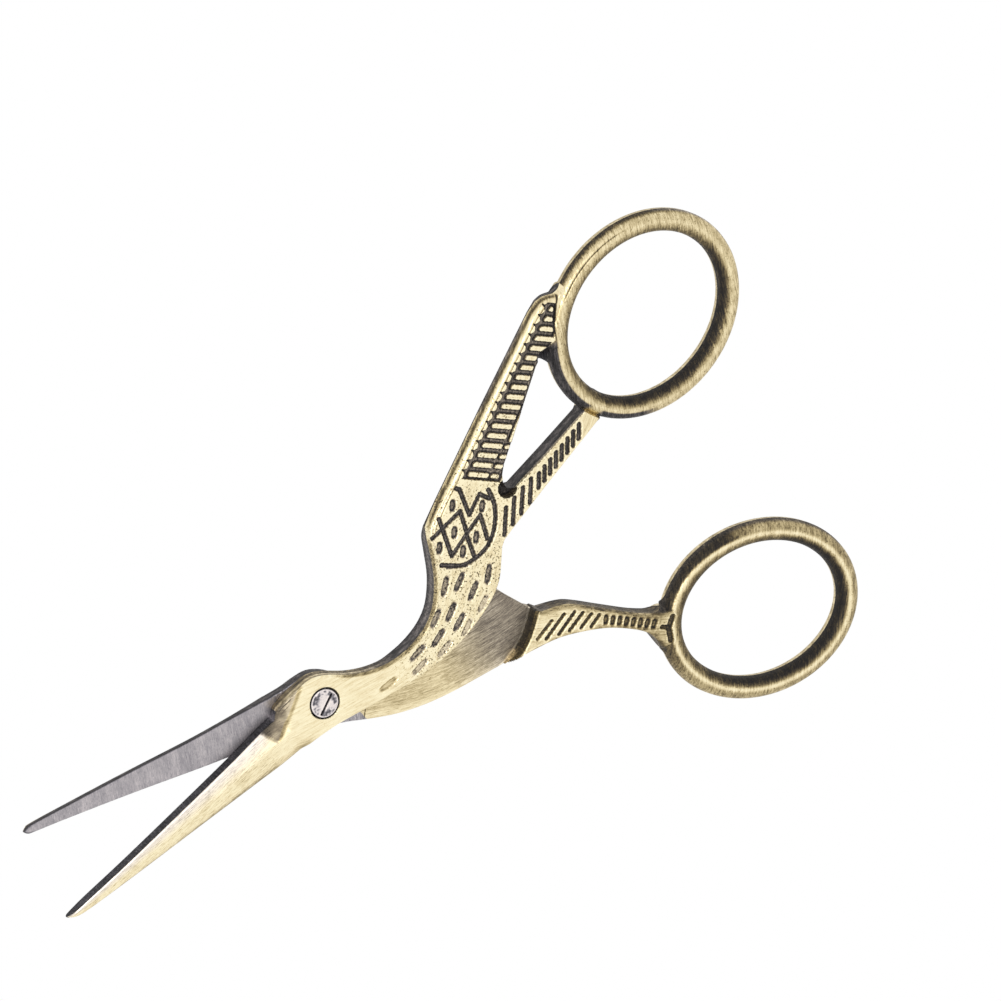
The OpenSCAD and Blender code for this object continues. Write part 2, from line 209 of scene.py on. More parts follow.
class Relief:
    """Depth that is cut into a top face, how dark the cut is as patina and painted shade in the recess, and
    the painted highlight of the bright lip round it.
    """

    def __init__(self, q):
        self.q = q + 0.05 * np.stack([wander(q, 0.3, 1), wander(q, 0.3, 4)], 1)
        self.depth = np.zeros(len(q))
        self.dark = np.zeros(len(q))
        self.lip = np.zeros(len(q))

    def cut(self, gap, depth, dark=1.0, soft=0.1, floor=0.22):
        """A cut whose outline is where gap is 0, and whose floor is paler by that share, as painted light on
        the floor.
        """
        share = 1 - ramp(-soft, soft, gap)
        self.depth = np.maximum(self.depth, depth * share)
        tone = dark * share * (1 - floor * ramp(0.1, 0.24, -gap))
        self.dark = np.maximum(self.dark, tone)
        self.lip = np.maximum(self.lip, dark * bell(gap, 0.19, 0.09))

    def near(self, points, reach):
        p = np.array(points, float)
        q = self.q
        return np.where(
            (q[:, 0] > p[:, 0].min() - reach) & (q[:, 0] < p[:, 0].max() + reach)
            & (q[:, 1] > p[:, 1].min() - reach) & (q[:, 1] < p[:, 1].max() + reach)
        )[0]

    def groove(self, points, width, depth=0.32, dark=1.0):
        """A cut along a line."""
        rows = self.near(points, width + 0.4)
        if len(rows):
            gap = np.full(len(self.q), 9.0)
            gap[rows] = nearest(self.q[rows], np.array(points, float), False)[0] - width / 2
            self.cut(gap, depth, dark)

    def dimple(self, x, y, length, width, angle, depth=0.25, dark=0.8, floor=0.42):
        """A cut in the shape of a seed."""
        c, s = math.cos(math.radians(angle)), math.sin(math.radians(angle))
        u = ((self.q[:, 0] - x) * c + (self.q[:, 1] - y) * s) / (length / 2)
        v = (-(self.q[:, 0] - x) * s + (self.q[:, 1] - y) * c) / (width / 2)
        gap = ((np.abs(u) ** 3 + np.abs(v) ** 3) ** (1 / 3) - 1) * width / 2
        self.cut(gap, depth, dark, 0.1, floor)

    def patina_and_shading(self, base):
        # The lip lightens the colour as a painted highlight; the dark share is patina and painted shade in
        # the recess.
        return np.maximum(base - 0.16 * self.lip * (1 - self.dark), self.dark)


# Mesh of a plate whose top and underside are heights over its plan
def cells_at_nodes(cells):
    """How many of the four cells round each node of a grid are set."""
    ny, nx = cells.shape
    count = np.zeros((ny + 1, nx + 1), int)
    for dy in (0, 1):
        for dx in (0, 1):
            count[dy:dy + ny, dx:dx + nx] += cells
    return count


def cells_inside(dist, box, step):
    """The nodes of a grid over a box, and which of its cells lie inside the plan."""
    x0, y0, x1, y1 = box
    nx = int((x1 - x0) / step / BLOCK + 1) * BLOCK
    ny = int((y1 - y0) / step / BLOCK + 1) * BLOCK
    gx, gy = np.meshgrid(x0 + np.arange(nx + 1) * step, y0 + np.arange(ny + 1) * step)
    middles = slice(BLOCK // 2, None, BLOCK)
    coarse = np.stack([gx[middles, middles].ravel(), gy[middles, middles].ravel()], 1)
    close = (dist(coarse) < 6.5 * step).reshape(ny // BLOCK, nx // BLOCK)
    measured = cells_at_nodes(np.kron(close, np.ones((BLOCK, BLOCK), bool))) > 0
    d = np.full(gx.shape, 9.0)
    d[measured] = dist(np.stack([gx[measured], gy[measured]], 1))
    return gx, gy, (d[:-1, :-1] + d[1:, :-1] + d[:-1, 1:] + d[1:, 1:]) < 0


def onto_outline(dist, p, step):
    """Points near the outline, moved onto it."""
    for _ in range(4):
        grad = np.stack([
            dist(p + [0.01, 0]) - dist(p - [0.01, 0]),
            dist(p + [0, 0.01]) - dist(p - [0, 0.01]),
        ], 1) / 0.02
        size = np.maximum((grad ** 2).sum(1), 0.25)
        p = p - np.clip(dist(p) / size, -step, step)[:, None] * grad
    return p


def outward(dist, p):
    """Directions straight out of the plan."""
    grad = np.stack([dist(p + [0.01, 0]) - dist(p), dist(p + [0, 0.01]) - dist(p)], 1)
    return grad / np.maximum(np.linalg.norm(grad, axis=1), 1e-9)[:, None]


def rim_edges(keep, index):
    """Pairs of points along the rim, in the order in which the cell beside them runs."""
    ny, nx = keep.shape
    pad = np.zeros((ny + 2, nx + 2), bool)
    pad[1:-1, 1:-1] = keep
    edges = []
    for (dx, dy), (row_a, column_a), (row_b, column_b) in (
        ((0, -1), (0, 0), (0, 1)), ((1, 0), (0, 1), (1, 1)),
        ((0, 1), (1, 1), (1, 0)), ((-1, 0), (1, 0), (0, 0)),
    ):
        edge = keep & ~pad[1 + dy:1 + dy + ny, 1 + dx:1 + dx + nx]
        edges.append(np.stack([
            index[row_a:row_a + ny, column_a:column_a + nx][edge],
            index[row_b:row_b + ny, column_b:column_b + nx][edge],
        ], 1))
    return np.concatenate(edges)


def plate_mesh(name, field, box, top, low, turn, body, node, wall, flare=None, step=STEP):
    """field measures the plan, top, low and wall make the faces, and flare spreads the walls' foot."""
    def dist(points):
        return field(points)[0]

    gx, gy, keep = cells_inside(dist, box, step)
    count = cells_at_nodes(keep)
    used = count > 0
    index = np.full(used.shape, -1)
    index[used] = np.arange(used.sum())
    q = np.stack([gx[used], gy[used]], 1)
    on_rim = count[used] < 4
    q[on_rim] = onto_outline(dist, q[on_rim], step)
    f = field(q)
    z_top, look_top = top(q, f)
    z_low, look_low = low(q, f)
    z_low = np.minimum(z_low, z_top - 0.01)
    n = len(q)
    a, b = index[:-1, :-1][keep], index[:-1, 1:][keep]
    c, d = index[1:, 1:][keep], index[1:, :-1][keep]
    faces = [np.stack([a, b, c, d], 1), np.stack([a, d, c, b], 1) + n]
    edges = rim_edges(keep, index)
    ring, ends = np.unique(edges, return_inverse=True)
    one, two = ends.reshape(edges.shape).T
    rim = q[ring]
    f_rim = field(rim)
    m = len(ring)
    points = [np.column_stack([q, z_top]), np.column_stack([q, z_low])]
    looks = [look_top, look_low]
    out = np.zeros((m, 2))
    if flare is not None:
        out = outward(dist, rim) * flare(rim)[:, None]
        points[1][ring, :2] += out
    for k in range(WALL_ROWS):
        t = k / (WALL_ROWS - 1)
        points.append(np.column_stack([rim + out * t, z_top[ring] * (1 - t) + z_low[ring] * t]))
        looks.append(wall(rim, t, f_rim))
    for k in range(WALL_ROWS - 1):
        s = 2 * n + k * m
        faces.append(np.stack([s + two, s + one, s + m + one, s + m + two], 1))
    points, looks, faces = np.concatenate(points), np.concatenate(looks), np.concatenate(faces)
    return finish_mesh(name, points, faces, looks, turn, body, node)


def finish_mesh(name, points, faces, looks, turn, body, node, sharp=38):
    """Each row of looks has a point's patina and painted shading, its share of bare steel, the brushing's u
    and v, the depth of its pits and the strength of its brush strokes."""
    c, s = math.cos(turn), math.sin(turn)
    placed = np.column_stack([
        points[:, 0] * c - points[:, 1] * s, points[:, 0] * s + points[:, 1] * c, points[:, 2]
    ]) * MM
    mesh = bpy.data.meshes.new(name)
    mesh.vertices.add(len(placed))
    mesh.vertices.foreach_set("co", placed.astype(np.float32).ravel())
    mesh.loops.add(faces.size)
    mesh.loops.foreach_set("vertex_index", faces.astype(np.int32).ravel())
    mesh.polygons.add(len(faces))
    mesh.polygons.foreach_set("loop_start", np.arange(0, faces.size, 4, dtype=np.int32))
    mesh.update(calc_edges=True)
    mesh.validate()
    mesh.polygons.foreach_set("use_smooth", np.ones(len(mesh.polygons), bool))
    mesh.set_sharp_from_angle(angle=math.radians(sharp))
    for at, column in (("patina_and_shading", 0), ("bare", 1), ("pits", 4), ("stroke", 5)):
        values = looks[:, column].astype(np.float32)
        mesh.attributes.new(at, "FLOAT", "POINT").data.foreach_set("value", values)
    strokes = np.column_stack([looks[:, 2], looks[:, 3], points[:, 2]])
    for at, vectors in (("brush", strokes), ("plan", points)):
        values = vectors.astype(np.float32).ravel()
        mesh.attributes.new(at, "FLOAT_VECTOR", "POINT").data.foreach_set("vector", values)
    obj = bpy.data.objects.new(name, mesh)
    bpy.context.scene.collection.objects.link(obj)
    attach(obj, body)
    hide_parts(node)
    return obj


# What several faces share
def brushed(q, patina_and_shading, bare, angle, pits=0.2, fine=1.0, stroke=1.0):
    """The looks of points whose brushing runs at that angle in plan."""
    c, s = np.cos(np.radians(angle)), np.sin(np.radians(angle))
    one = np.ones(len(q))
    patina_and_shading = np.clip(patina_and_shading, -0.1, 1)
    along, across = (q[:, 0] * c + q[:, 1] * s) * fine, (-q[:, 0] * s + q[:, 1] * c) * fine
    return np.column_stack([patina_and_shading * one, bare * one, along, across, pits * one, stroke * one])


def in_view(angle, turn):
    """1 where a ring's outer flank faces the upper left of the photograph, -1 where its inner flank does."""
    return np.cos(np.radians(angle + turn - 90))


def ring_heights(off, low, crest, widest):
    """Top and underside of a ring's band at a distance off its centre line."""
    u = np.abs(off) / BAND
    arch = np.sqrt(np.clip(1 - u ** 2.2, 0, 1))
    bowl = np.sqrt(np.clip(1 - u ** 2, 0, 1))
    past = np.maximum(u - 1, 0) * BAND * 3
    return widest + (crest - widest) * arch - past, widest - (widest - low) * bowl + past


def ring_shading(u, view, outer=0.12, edge=0.9):
    """Painted shade and reflection over a ring's band: its flanks that face the camera are the darkest."""
    out = edge * ramp(outer, outer + 0.3, u) * (0.12 + 0.88 * ramp(0.1, 0.75, view))
    into = 0.62 * ramp(0.0, 0.8, -u) * (0.45 + 0.55 * ramp(-0.3, 0.6, -view))
    return np.maximum(out, into)


def rim_drop(e, ease):
    """How far a top face rounds down at a distance e inside its rim."""
    return 2 * ease * (1 - np.clip(e / ease, 0, 1)) ** 2.2


def rim_rise(e, ease):
    """How far an underside rounds up at a distance e inside its rim."""
    return 2.5 * ease * (1 - np.clip(e / (2.3 * ease), 0, 1)) ** 1.2


def plate_rounding(e, size=0.12):
    """How far both faces of the rear half's plate round off at a distance e inside its rim."""
    return size * (1 - np.clip(e / size, 0, 1)) ** 2


def blade_top(q, stations, base):
    """Height of a blade, and the share of the way from its cutting edge to its spine."""
    x = stations[:, 0]
    edge, spine, at_edge, at_middle, at_spine = (
        np.interp(q[:, 0], x, stations[:, k]) for k in range(1, 6)
    )
    t = np.clip((edge - q[:, 1]) / (edge - spine), 0, 1)
    places = np.array([0, 0.45, 0.76, 0.93, 1])
    fine = np.linspace(0, 1, 41)
    out = 0
    for thickness, knots in (
        (at_edge, (1, 0, 0, 0, 0)), (at_middle, (0, 1, 0.9, 0.45, 0)), (at_spine, (0, 0, 0, 0.5, 1))
    ):
        v = np.interp(fine, places, knots)
        v[2:-2] = (v[:-4] + v[1:-3] + v[2:-2] + v[3:-1] + v[4:]) / 5
        out = out + thickness * np.interp(t, fine, v)
    return base + out, t


# Front half. A blade's stations are x, edge, spine and the thickness at edge, middle and spine.
front_stations = smooth_line([
    [-45.35, 0.42, 0.28, 0.5, 0.5, 0.3], [-44.8, 0.5, -0.12, 1.0, 1.0, 0.4],
    [-43.8, 0.6, -0.5, 1.35, 1.35, 0.5], [-41.5, 0.75, -0.85, 1.5, 1.5, 0.6],
    [-34.6, 0.98, -1.55, 1.55, 1.65, 0.6], [-24.6, 1.5, -2.42, 1.55, 1.85, 0.6],
    [-14.6, 2.1, -3.18, 1.6, 2.15, 0.8], [-9.6, 2.55, -3.42, 1.6, 2.35, 1.2],
    [-6.4, 2.68, -3.38, 1.65, 2.44, 1.5], [-3.0, 2.9, -3.36, 1.7, 2.46, 1.9],
])
front_back = [
    [-6.2, 3.3, 0.12, 0.1], [-5.5, 3.75, 0.12, 0.1], [-4.0, 4.02, 0.12, 0.1], [-2.0, 4.18, 0.15, 0.1],
    [0.0, 4.15, 0.2, 0.1], [1.4, 3.7, 0.2, 0.1], [2.95, 2.6, 0.25, 0.1], [5.2, 0.55, 0.22, 0.12],
    [7.9, -1.13, 0.22, 0.15], [10.95, -2.15, 0.22, 0.2], [14.0, -2.33, 0.24, 0.15],
    [17.15, -1.68, 0.27, 0.13], [19.7, -0.15, 0.3, 0.13], [22.1, 2.75, 0.3, 0.13],
    [23.75, 5.95, 0.32, 0.13], [24.7, 8.1, 0.4, 0.25], [25.6, 9.6, 0.55, 0.6],
]
wing_side = [[29.0, 11.55, 0.65, 0.7], [42.0, 18.0, 0.7, 0.7], [54.5, 24.0, 0.65, 0.7]]
wing_end = [[56.2, 24.5, 0.6, 0.6], [57.4, 24.35, 0.5, 0.5], [58.6, 23.7, 0.4, 0.4]]
wing_join = eased([(60.2, 23.4), (57.3, 19.8), (55.5, 18.5)], 0.1, 0.1)
opening_top = eased([(52.6, 18.75), (39.2, 9.3)], 0.12, 0.2)
opening_nook = eased([(38.2, 8.3), (37.7, 7.3), (37.7, 6.2), (38.5, 5.6)], 0.12, 0.2)
opening_low = eased([(45.0, 6.4), (52.2, 7.4)], 0.15, 0.2)
leg_join = eased([(55.0, 7.8), (55.2, 5.4)], 0.1, 0.1)
front_leg_low = eased([(50.4, 4.35), (42.0, 2.6), (35.0, 1.05), (33.1, 0.55)], 0.12, 0.2)
breast = eased([(32.3, 0.0)], 0.12, 0.2)
belly = eased([
    (31.0, -1.6), (29.2, -3.6), (26.6, -5.15), (22.6, -6.35),
    (18.0, -6.95), (13.0, -6.65), (8.0, -5.75), (3.0, -4.6),
], 0.12, 0.1)
throat = [[-0.5, -3.8, 0.14, 0.1], [-4.0, -3.45, 0.3, 0.1], [-6.4, -3.36, 0.4, 0.1]]
front_plan = Outline(
    blade_side(front_stations, 1) + [[-6.75, 2.69, 0.03, 0.05]] + curve(front_back)
    + wing_side + curve(wing_end, 3) + wing_join + opening_top + curve(opening_nook) + opening_low
    + leg_join + front_leg_low + curve(breast + belly + throat) + blade_side(front_stations, 2)[::-1]
)
thumb = Oval([66.95, 12.05], 13.7, 12.0, 15.6)
lap_under_body = smooth_line([
    [14.4, -2.75], [17.5, -2.2], [20.5, -0.3], [24.0, 2.4],
    [27.2, 4.1], [29.3, 4.0], [30.4, 2.6], [33.6, -1.4],
])
LAP_LINE = np.array(
    [[-50, 6], [8, 6], [12.4, -1.6], [13.2, -2.4]] + lap_under_body.tolist() + [[34, -10], [-50, -10]]
)

# The facet beside the blade's heel, and how the brushing bends along the front half
FACET_AT = np.array([-8.4, -0.5])
FACET_TURN = math.radians(32.5)
bend_x = np.linspace(-50, 85, 271)
bend_slope = np.interp(bend_x, [-8.5, -6, 8, 22], [0.026, -0.268, -0.268, 0.7])
BEND = bend_x, np.cumsum(0.5 * bend_slope)

# Carving of the wing: its ribs lean, and each has its own length
PANEL = np.array([34.5, 12.0])
PANEL_TURN = math.radians(26)
RIB_LEAN = math.radians(73.7)
FEATHER = 1.465
RIB_LENGTHS = [2.8, 2.7, 2.7, 2.75, 2.7, 2.75, 2.65, 2.7, 2.7, 2.7, 2.7, 2.7, 2.7, 2.7, 2.8, 2.4, 1.9, 1.3]

# The wing's raised border and the groove beside it: depth, and painted shade on the border's slopes and in
# the groove, by the distance inside the rim
BORDER_DEPTH = (
    [0, 0.12, 0.3, 0.55, 0.85, 0.98, 1.06, 1.18, 1.4],
    [1.3, 0.75, 0.36, 0.14, 0.03, 0.05, 0.09, 0.02, 0],
)
BORDER_SHADE = (
    [0, 0.05, 0.1, 0.18, 0.28, 0.7, 0.92, 1.0, 1.08, 1.2],
    [0.3, 0.35, 0.8, 0.7, 0.25, 0.14, 0.2, 0.5, 0.5, 0.0],
)

# Feather dimples of the neck and breast: x, y, length, angle and darkness
FEATHERS = (
    (8.5, -4.3, 3.0, -2, 0.4), (13.4, -5.5, 2.9, 6, 0.45), (14.3, -3.65, 3.0, 8, 0.7),
    (17.6, -5.9, 2.8, 12, 0.45), (17.8, -4.0, 2.9, 18, 0.8), (21.4, -4.3, 2.8, 24, 0.85),
    (21.8, -5.75, 2.6, 24, 0.4), (19.1, -1.5, 2.9, 29, 0.7), (21.3, -2.3, 2.9, 30, 0.85),
    (22.75, 1.3, 3.0, 42, 0.7), (24.7, 0.35, 2.9, 29, 0.85), (25.5, -2.1, 2.9, 30, 0.85),
    (25.5, -4.6, 2.7, 26, 0.45), (28.5, -1.7, 2.9, 45, 0.8),
)

# The criss-cross field of the body: the bow under it, its lines and its seeds
FIELD_BOW = [
    (24.1, 4.1), (25.2, 3.0), (26.5, 1.9), (28.5, 1.45), (30.5, 1.6),
    (32.3, 2.5), (33.8, 4.0), (34.8, 5.6), (35.25, 7.0), (35.4, 8.1),
]
FIELD_BACK = [(24.5, 4.6), (24.75, 6.4), (25.3, 8.0), (26.4, 9.4), (28.2, 10.4), (31.2, 11.8)]
FIELD_LINES = (
    [(27.6, 9.7), (26.0, 4.1), (29.4, 5.15), (28.4, 1.7)],
    [(25.3, 8.1), (30.6, 8.5), (29.5, 5.2), (32.5, 6.0), (31.3, 2.5)],
    [(32.0, 11.5), (32.3, 11.1), (31.3, 7.1), (34.1, 8.5), (34.8, 7.0)],
)
FIELD_SEEDS = (25.3, 6.3), (28.2, 6.6), (30.2, 9.9), (33.4, 6.8), (27.6, 3.5), (30.2, 3.8)

# Slots of the thigh, and the drilled end of the window between wing and leg
THIGH_SLOTS = (
    [(33.5, 1.2), (35.9, 4.2)], [(35.3, 1.6), (37.6, 4.5)],
    [(37.1, 2.0), (39.4, 4.8)], [(38.9, 2.3), (41.0, 5.0)],
)
CROTCH = 37.65, 6.35


def front_field(q):
    """Distance off the front half's plan, less than 0 inside, and the distances that it is made from."""
    plate, ease = front_plan(q)
    off, angle = thumb(q)
    hole = COUNTERSINK - np.hypot(q[:, 0], q[:, 1])
    fillet = 0.9 + 4.6 * spot(q, 52.6, 17.4, 3.5)
    return np.maximum(soft_min(plate, np.abs(off) - BAND, fillet), hole), plate, ease, off, angle


def facet_side(q):
    """Distance past the facet's upper edge, towards the cutting edge."""
    r = q - FACET_AT
    return -r[:, 0] * math.sin(FACET_TURN) + r[:, 1] * math.cos(FACET_TURN)


def wing_panel(cut, e, ring_gap):
    """Ribs that stand like feathers across the wing, with a row of lobes above them."""
    r = cut.q - PANEL
    c, s = math.cos(PANEL_TURN), math.sin(PANEL_TURN)
    along, height = r[:, 0] * c + r[:, 1] * s, -r[:, 0] * s + r[:, 1] * c
    down = -height / math.sin(RIB_LEAN)
    foot = along - down * math.cos(RIB_LEAN)
    k = np.clip(np.round(foot / FEATHER), 0, len(RIB_LENGTHS) - 1)
    side = np.abs(foot - k * FEATHER) * math.sin(RIB_LEAN)
    length = np.array(RIB_LENGTHS)[k.astype(int)]

    def cell(middle, half, width, corner=0.3):
        x, y = side - (width - corner), np.abs(down - middle) - (half - corner)
        outer = np.hypot(np.maximum(x, 0), np.maximum(y, 0))
        return outer + np.minimum(np.maximum(x, y), 0) - corner

    edge = np.where(k < 13, e, 9)
    stands = cell(0.05 + (length + 0.27) / 2, (length + 0.27) / 2, 0.38)
    stands = soft_max(stands, np.maximum(0.38 - edge, 0.3 - ring_gap), 0.25)
    small = np.maximum(cell(0.32 + length + 0.35 + 0.6, 0.62, 0.33), 0.12 - e)
    stands = np.where(k < 4, np.minimum(stands, small), stands)
    rim = 0.5 * between(along, 3.6, 5.2, 6.0, 13.0) * (k > 3)
    stands = np.where(k > 3, np.maximum(stands, rim + 0.26 - e), stands)
    stands = np.minimum(stands, np.where(rim > 0.05, e - rim, 9))
    lobe = (along + 0.52) / FEATHER
    lobe = np.hypot((lobe - np.round(lobe)) * FEATHER, height - 1.15) - 0.68
    stands = np.minimum(stands, np.where(height > -0.2, lobe, 9))
    bounds = np.maximum(-0.74 - foot, foot - (len(RIB_LENGTHS) - 0.4) * FEATHER)
    bounds = np.maximum(bounds, height - 1.15)
    bounds = np.maximum(bounds, -4.75 + 0.161 * (along - 2.33) - 0.9 * ramp(14.5, 16.5, along) - height)
    bounds = np.maximum(bounds, -0.05 - ring_gap)
    cut.cut(np.maximum(-stands, bounds), depth=0.42, soft=0.08, floor=0.34)


def front_relief(q, e, ring_gap):
    """All that is carved into the front half's top."""
    cut = Relief(q)
    for x, y, length, angle, dark in FEATHERS:
        cut.dimple(x, y, length, 0.88, angle, 0.1 + 0.2 * dark, 0.12 + 0.9 * dark, floor=0.34)
    cut.groove(smooth_line(FIELD_BOW), width=0.62)
    cut.groove([(24.4, 3.2), (25.7, 2.2), (26.9, 1.35)], width=0.2, depth=0.2, dark=0.9)
    cut.groove(FIELD_BACK, width=0.2, depth=0.1, dark=0.3)
    for line in FIELD_LINES:
        cut.groove(line, width=0.6)
    for x, y in FIELD_SEEDS:
        cut.dimple(x, y, length=1.75, width=0.85, angle=50, depth=0.3, dark=1.0, floor=0.4)
    for line in THIGH_SLOTS:
        cut.groove(line, width=0.62)
    for k in range(8):
        x, y = 41.7 + 1.2 * k, 4.0 + 0.23 * k
        cut.groove([(x - 0.6, y - 0.82), (x + 0.6, y + 0.82)], width=0.62)
    cut.groove([(7.9, -3.3), (8.7, -3.3)], width=0.1, depth=0.04, dark=0.3)
    wing_panel(cut, e, ring_gap)
    drilled = np.hypot(cut.q[:, 0] - CROTCH[0], cut.q[:, 1] - CROTCH[1]) - 1.35
    cut.cut(drilled, depth=1.6, dark=0.95, floor=0.05)
    low_side = ramp(-0.3, 0.9, (cut.q[:, 0] * -0.3 - cut.q[:, 1]) + 17.65)
    # Painted highlight: a bright crescent on the low side of the drilled hole's rim
    cut.lip = np.maximum(cut.lip, 2.2 * low_side * bell(drilled, 0.22, 0.14))
    return cut


def facet_patina_and_reflection(q, side, heel, e):
    """Where the dark facet beside the heel lies, and its darkness there: patina with a painted dark
    reflection, lighter bands as painted highlights and darker lines along its rim.
    """
    x, y = q[:, 0], q[:, 1]
    facet = ramp(-0.3, 0.3, side) * ramp(-0.6, 0.35, heel) * ramp(-0.3, 0.5, y) * (1 - ramp(-1.6, 0.6, x))
    olive = bell(side, 0.55, 0.35) * ramp(-7.0, -4.5, x)
    streak = bell(side, 1.3 + 0.12 * (x + 3), 0.24) * ramp(-5.5, -3.5, x)
    shade = 0.55 + 0.05 * wander(q, 0.9, 2) - 0.2 * olive - 0.22 * streak + 0.2 * ramp(1.2, 2.4, side)
    rim = np.maximum(bell(e, 0.3, 0.1), 0.8 * bell(e, 0.75, 0.12)) * ramp(-6.6, -5.5, x)
    return facet, np.maximum(facet * shade, 0.85 * rim * facet * (side > 0.9))


def thumb_patina_and_shading(q, off, angle, plate, line, fade):
    """Patina and painted shading of the thumb ring, with painted highlights along its crest and outer facet,
    and how far a point lies on its steep flank beside the wing, which is painted dark as shade.
    """
    u = off / BAND
    patina_and_shading = ring_shading(u, in_view(angle, -0.1), 0.72, 0.55) + 0.36 + 0.05 * wander(q, 1.2, 3)
    # Painted highlight: lighter along the crest and on the outer facet
    patina_and_shading = patina_and_shading - 0.1 * bell(u, 0.1, 0.2)
    patina_and_shading = np.maximum(patina_and_shading - 0.1 * bell(u, 0.55, 0.18) * fade, 0.8 * bell(line, 0, 0.11) * fade)
    steep = between(angle, 130, 138, 218, 232) * ramp(0.25, 0.4, u) * ramp(-0.6, 0.2, plate)
    return mixed(patina_and_shading, 0.84, steep), steep


def front_top(q, f):
    dist, plate, ease, off, angle = f
    x, y = q[:, 0], q[:, 1]
    e = np.maximum(-dist, 0)
    band = BAND - np.abs(off)
    on_wing = ramp(24.4, 27.4, x) * ramp(0.0, 1.0, y - 0.487 * x + 5.6)
    z = mixed(TOP - rim_drop(e, ease[:, 0]), TOP - np.interp(e, *BORDER_DEPTH), on_wing)
    blade, t = blade_top(q, front_stations, LAP)
    z = soft_min(z, blade + 1.6 * ramp(-6.4, -3.0, x), 0.12)
    side = facet_side(q)
    heel = x + 8.2 + 0.42 * y
    slope = TOP + 0.05 - 0.37 * np.clip(side, -1, 2.32)
    slope = slope + 1.3 * np.maximum(-heel, 0) + 1.3 * np.maximum(0.2 - y, 0)
    z = soft_min(z, np.where((x > 3) | (x < -11), 9, slope), 0.3)
    seam_at = np.interp(angle, [104, 132], [-0.55, 0.9])
    cut = front_relief(q, e, seam_at - band)
    z_ring = ring_heights(off, *THUMB_RING)[0]
    at_wing = ramp(16.5, 17.5, y) * (1 - ramp(61.5, 63, x))
    covered = at_wing * (np.maximum(seam_at, 0.4) + 0.1) - 0.1
    z = z - FALL * ramp(-0.2, 1.6, plate) - FALL * ramp(covered, covered + 0.6, band)
    z = z - FALL * (1 - ramp(-0.6, 0.8, off)) - cut.depth * ramp(0.0, 0.25, e)
    on_ring = ramp(-0.12, 0.12, z_ring - z)
    z = soft_max(z, z_ring, 0.3)
    # The ring's outer facet carries on from the wing's border and fades at the far side
    line = np.abs(off - 0.5)
    fade = between(angle, 35, 75, 104, 112)
    z = z - 0.08 * bell(line, 0, 0.1) * fade * on_ring

    # Patina of the body, the wing and then the ring, with painted shade and painted highlights
    patina_and_shading = 0.13 + 0.05 * wander(q, 3.0) - 0.06 * (1 - ramp(2, 12, x)) + 0.06 * between(x, 12, 18, 33, 36)
    patina_and_shading = patina_and_shading - 0.16 * on_wing * ramp(1.05, 1.25, e)
    field = ramp(24.0, 25.0, x) * (1 - ramp(27.5, 29.0, x - 0.5 * (y - 6))) * (y > 4.3)
    patina_and_shading = cut.patina_and_shading(patina_and_shading - 0.12 * field * (1 - on_wing))
    # Painted shade: the blade darkens towards its spine, where its face rounds down
    patina_and_shading = patina_and_shading + 0.3 * ramp(0.7, 1.0, t) * (1 - ramp(-6.0, -3.0, x))
    facet, facet_tone = facet_patina_and_reflection(q, side, heel, e)
    patina_and_shading = np.maximum(patina_and_shading, facet_tone)
    # Painted shade where the neck's back rim rounds down
    back = between(x, 2.5, 5.0, 24.5, 25.5) * (y > -3.4)
    patina_and_shading = np.maximum(patina_and_shading, 0.55 * (1 - ramp(0.1, 0.5, e)) * back)
    patina_and_shading = np.maximum(patina_and_shading, np.interp(e, *BORDER_SHADE) * on_wing * (1 - on_ring))
    seam = bell(band, seam_at, 0.16) * (1 - ramp(-0.1, 0.1, plate)) * at_wing * (1 - ramp(23.8, 24.4, y))
    patina_and_shading = np.maximum(patina_and_shading, 0.95 * seam)
    web = ramp(-0.15, 0.1, plate) * ramp(-0.2, 0.1, -band) * ramp(40, 42, x) * (1 - ramp(22.8, 23.6, y))
    patina_and_shading = mixed(patina_and_shading, 0.82, web)
    # Painted shade along the rim of the window between wing and leg
    window = (1 - ramp(0.1, 0.2, e)) * (x > 40) * (x < 54) * (y > 0.7 * x - 19)
    patina_and_shading = np.maximum(patina_and_shading, 0.8 * window * (1 - on_wing) * (1 - on_ring))
    ring, steep = thumb_patina_and_shading(q, off, angle, plate, line, fade)
    patina_and_shading = mixed(patina_and_shading, ring, on_ring)
    on_blade = 1 - ramp(-10.5, -8.2, x - 0.3 * y)
    # The blade darkens towards its spine as painted shade, with a lighter line just inside its cutting edge
    patina_and_shading = patina_and_shading + on_blade * (0.05 - 0.1 * bell(t, 0.06, 0.05) + 0.14 * ramp(0.72, 0.95, t))

    bare = np.maximum(on_blade * (1 - ramp(0.05, 0.5, t)) * 0.75, 0.35 * facet * (side > 0.5))
    bare = np.maximum(bare, np.maximum(0.8 * cut.dark * (x > 10), np.maximum(web, 0.8 * steep * on_ring)))
    bent = np.column_stack([x, y - np.interp(x, *BEND)])
    lines = np.where(on_ring[:, None] > 0.5, q, bent)
    brush = np.where(on_ring > 0.5, 65.0, 0.0)
    pits = mixed(0.12 + 1.05 * between(x, 9, 15, 40, 50) * (1 - 0.4 * on_wing), 0.3, on_ring)
    fine = np.where(x < -7, 2.0, 1.0)
    stroke = 1 + 0.7 * on_blade + 0.15 * on_ring - 0.6 * facet
    return z, brushed(lines, patina_and_shading, bare, brush, pits, fine, stroke)


